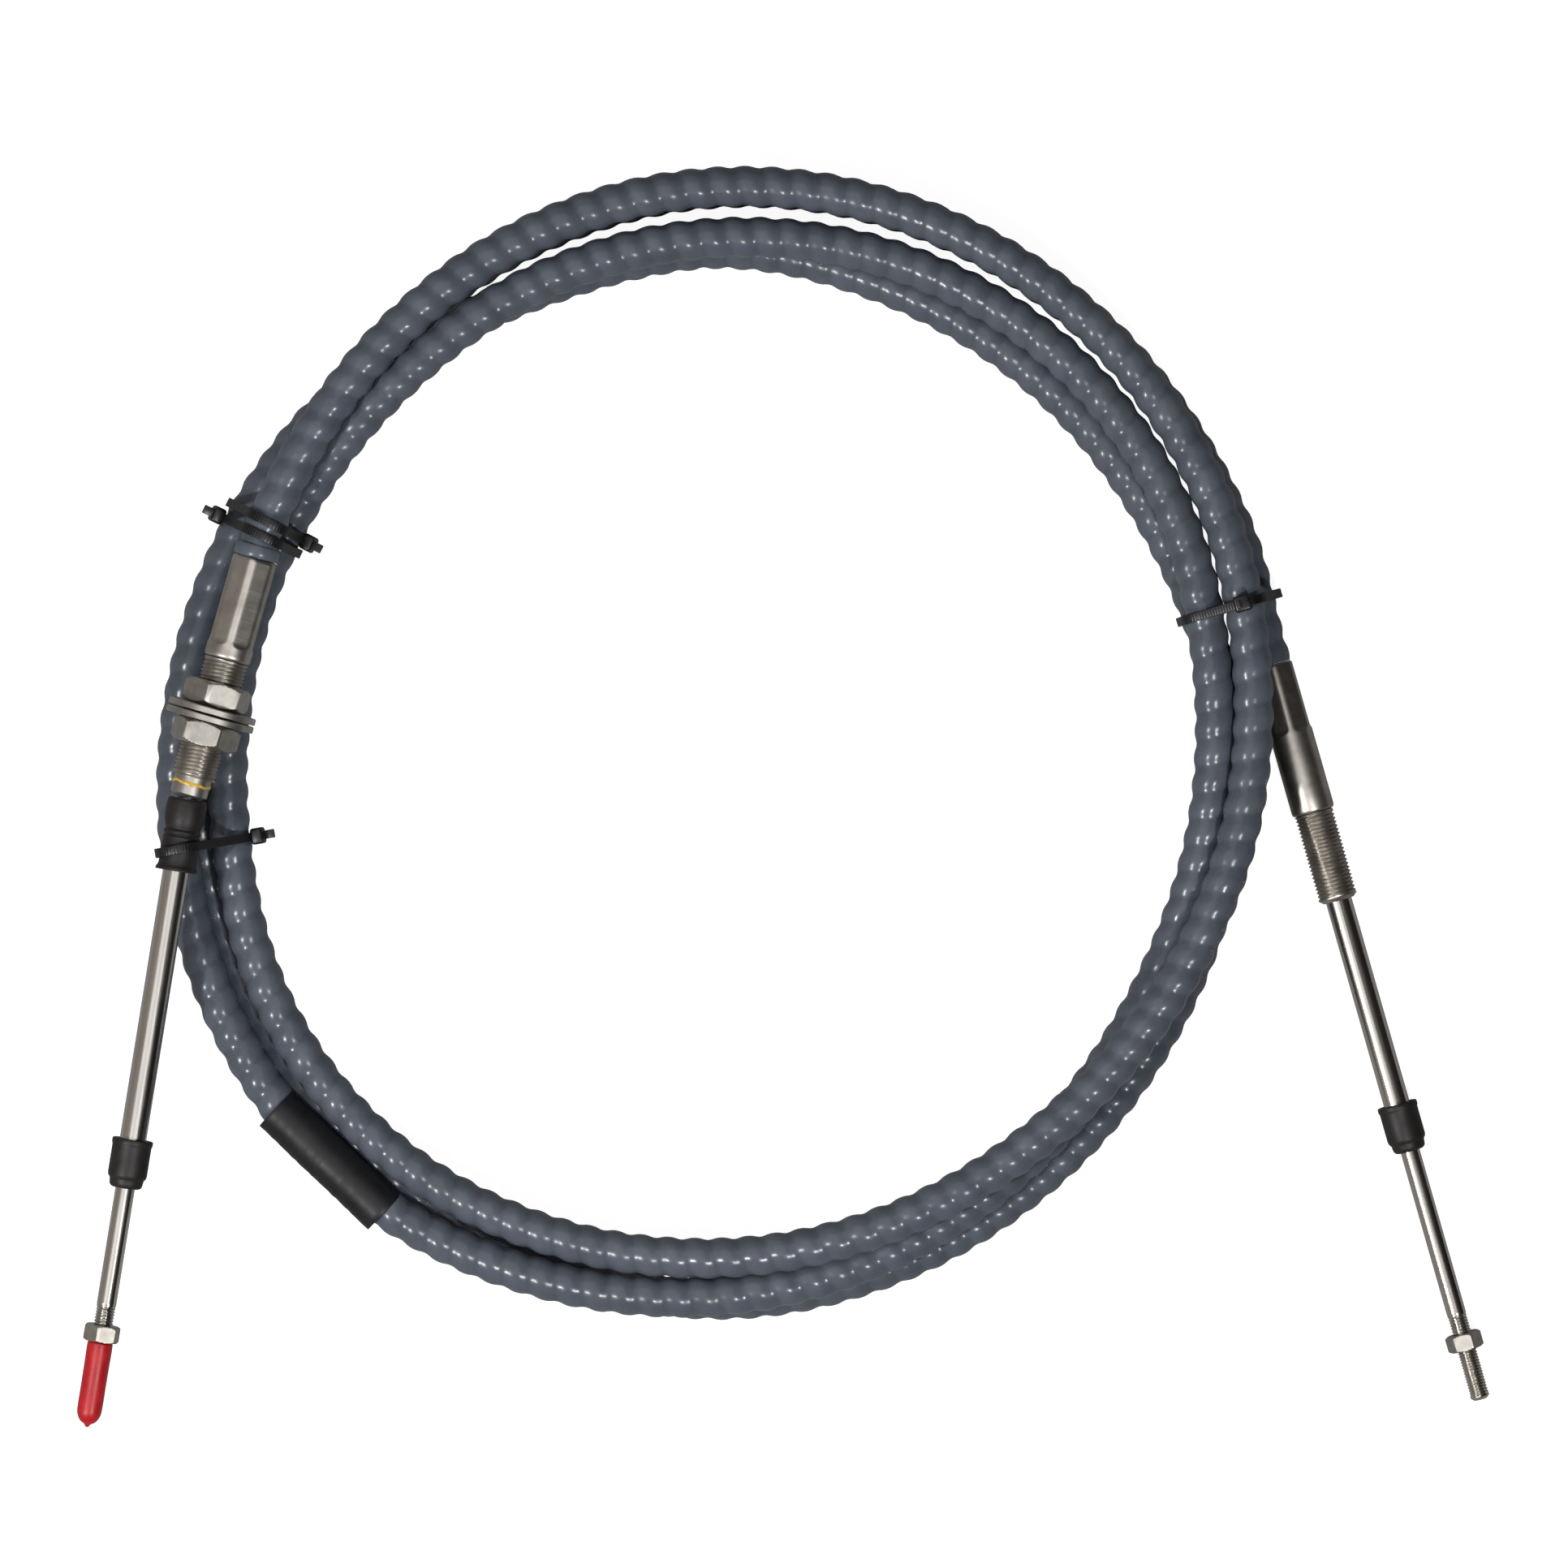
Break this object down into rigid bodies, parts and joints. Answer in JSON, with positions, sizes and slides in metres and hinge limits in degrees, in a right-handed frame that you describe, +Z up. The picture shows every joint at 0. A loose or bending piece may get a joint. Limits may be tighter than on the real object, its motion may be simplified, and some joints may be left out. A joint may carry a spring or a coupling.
{
  "type": "boat steering cable",
  "caption": "Push-pull boat steering cable with a ribbed jacket, coiled and tied, with threaded bulkhead fittings, guide tubes and sliding threaded rods at its ends.",
  "frame": {"origin": "centre of the ring that the cable is coiled in, on the floor that it lies on", "axes": "+Z up, out of the plane of the ring; the two fittings point towards -Y, the capped one on the -X side"},
  "size_m": [0.5065, 0.4509, 0.0616],
  "materials": {
    "ribbed_vinyl_jacket": "glossy extruded vinyl, blue grey",
    "turned_stainless_steel": "turned and crimped, lightly brushed",
    "nut_stainless_steel": "dull cold-formed faces",
    "polished_stainless_steel": "polished drawn tube and rod",
    "black_rubber": "moulded, satin",
    "red_vinyl_cap": "dip-moulded, soft gloss",
    "black_nylon": "moulded, satin",
    "black_shrink_sleeve": "shrunk film, satin, plain"
  },
  "bodies": {
    "coil": {"cable_jacket": "ribbed_vinyl_jacket", "jacket_collar_a": "ribbed_vinyl_jacket", "hub_a": "turned_stainless_steel", "bulkhead_nut_1": "nut_stainless_steel", "bulkhead_nut_2": "nut_stainless_steel", "washer_1": "nut_stainless_steel", "washer_2": "nut_stainless_steel", "boot_a": "black_rubber", "tube_a": "polished_stainless_steel", "seal_a": "black_rubber", "hub_b": "turned_stainless_steel", "tie_1": "black_nylon", "tie_2": "black_nylon", "tie_3": "black_nylon", "tie_4": "black_nylon", "label_sleeve": "black_shrink_sleeve"},
    "rod_a_body": {"rod_a": "polished_stainless_steel", "jam_nut_a": "nut_stainless_steel"},
    "cap_a_body": {"cap_a": "red_vinyl_cap"},
    "swivel_b_body": {"tube_b": "polished_stainless_steel", "seal_b": "black_rubber"},
    "rod_b_body": {"rod_b": "polished_stainless_steel", "jam_nut_b": "nut_stainless_steel"}
  },
  "joints": [
    {"name": "rod_a_slide", "type": "slide", "parent": "coil", "child": "rod_a_body", "axis": [-0.1587, -0.9873, 0], "range_m": [-0.0381, 0.0381]},
    {"name": "cap_a_pull", "type": "slide", "parent": "rod_a_body", "child": "cap_a_body", "axis": [-0.1587, -0.9873, 0], "range_m": [0, 0.04]},
    {"name": "swivel_b", "type": "hinge", "parent": "coil", "child": "swivel_b_body", "pos_m": [0.22111, -0.04714, 0.00893], "axis": [0, 0, 1], "range_deg": [-4, 4]},
    {"name": "rod_b_slide", "type": "slide", "parent": "swivel_b_body", "child": "rod_b_body", "axis": [0.274, -0.9617, 0], "range_m": [-0.0381, 0.0381]}
  ],
  "couplings": [
    {"joint": "rod_b_slide", "follows": "rod_a_slide", "ratio": -1}
  ]
}
